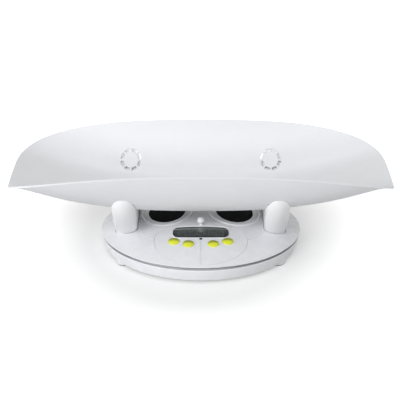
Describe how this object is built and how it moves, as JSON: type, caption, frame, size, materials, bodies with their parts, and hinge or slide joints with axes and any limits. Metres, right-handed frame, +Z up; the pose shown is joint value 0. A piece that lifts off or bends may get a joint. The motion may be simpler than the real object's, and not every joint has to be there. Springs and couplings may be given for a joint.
{
  "type": "baby weighing scale",
  "caption": "Digital baby scale with a long cradle tray on two saddle supports, which lifts off a round domed platform with foot mats, a display, push buttons and a tape pull.",
  "frame": {"origin": "middle of the footprint, on the ground under the rubber feet", "axes": "+X along the tray to the right, -Y towards the display and the user, +Z up"},
  "size_m": [0.6022, 0.3246, 0.168],
  "materials": {
    "tray_white": "satin white moulded shell",
    "shell_white": "semi-gloss white moulding",
    "mat_black": "matte black with fine grain",
    "window_dark": "glossy dark tint",
    "key_green": "soft yellow-green",
    "inner_plastic": "plain moulding",
    "inner_dark": "plain dark moulding",
    "board_green": "solder mask",
    "lcd_grey": "reflective grey-green",
    "steel": "zinc plated",
    "aluminium": "milled",
    "battery_wrap": "plain wrap",
    "tape_cream": "flexible tape"
  },
  "bodies": {
    "platform": {"platform_cover": "shell_white", "left_foot_mat": "mat_black", "right_foot_mat": "mat_black", "control_panel": "shell_white", "display_bezel": "shell_white", "display_lens": "window_dark", "indicator_lens": "inner_dark", "tact_switches": "inner_dark", "circuit_board": "board_green", "board_screws": "steel", "lcd_module": "lcd_grey", "lcd_frame": "inner_plastic", "buzzer": "inner_dark", "tape_case": "inner_plastic", "tape_arbor": "steel", "load_frame": "steel", "frame_screws": "steel", "load_cell": "aluminium", "lower_spacer": "steel", "upper_spacer": "steel", "lower_cell_screws": "steel", "upper_cell_screws": "steel", "lower_base": "shell_white", "rubber_feet": "mat_black", "battery_box": "inner_plastic", "batteries": "battery_wrap", "battery_contacts": "steel"},
    "tray": {"tray": "tray_white", "left_support": "tray_white", "right_support": "tray_white", "support_screws": "steel"},
    "battery_door": {"battery_door": "shell_white"},
    "tape_pull": {"pull_ball": "shell_white", "tape": "tape_cream"},
    "tape_reel": {"tape_reel": "tape_cream"},
    "key_outer_left": {"button_outer_left": "key_green", "plunger_outer_left": "inner_dark"},
    "key_inner_left": {"button_inner_left": "key_green", "plunger_inner_left": "inner_dark"},
    "key_inner_right": {"button_inner_right": "key_green", "plunger_inner_right": "inner_dark"},
    "key_outer_right": {"button_outer_right": "key_green", "plunger_outer_right": "inner_dark"}
  },
  "joints": [
    {"name": "tray_lift", "type": "slide", "parent": "platform", "child": "tray", "axis": [0, 0, 1], "range_m": [0, 0.08]},
    {"name": "key_outer_left_press", "type": "slide", "parent": "platform", "child": "key_outer_left", "axis": [0, 0.171, -0.9853], "range_m": [0, 0.001], "stiffness_N_per_m": 1200, "springref_m": -0.0006},
    {"name": "key_inner_left_press", "type": "slide", "parent": "platform", "child": "key_inner_left", "axis": [0, 0.171, -0.9853], "range_m": [0, 0.001], "stiffness_N_per_m": 1200, "springref_m": -0.0006},
    {"name": "key_inner_right_press", "type": "slide", "parent": "platform", "child": "key_inner_right", "axis": [0, 0.171, -0.9853], "range_m": [0, 0.001], "stiffness_N_per_m": 1200, "springref_m": -0.0006},
    {"name": "key_outer_right_press", "type": "slide", "parent": "platform", "child": "key_outer_right", "axis": [0, 0.171, -0.9853], "range_m": [0, 0.001], "stiffness_N_per_m": 1200, "springref_m": -0.0006},
    {"name": "tape_pull_slide", "type": "slide", "parent": "platform", "child": "tape_pull", "axis": [0, 0, 1], "range_m": [0, 0.015], "stiffness_N_per_m": 30, "springref_m": -0.015},
    {"name": "tape_reel_spin", "type": "hinge", "parent": "platform", "child": "tape_reel", "pos_m": [0, -0.03813, 0.03473], "axis": [-1, 0, 0], "range_deg": [0, 71]},
    {"name": "battery_door_slide", "type": "slide", "parent": "platform", "child": "battery_door", "axis": [0, -1, 0], "range_m": [0, 0.06]}
  ],
  "couplings": [
    {"joint": "tape_reel_spin", "follows": "tape_pull_slide", "rad_per_m": 81.5}
  ]
}
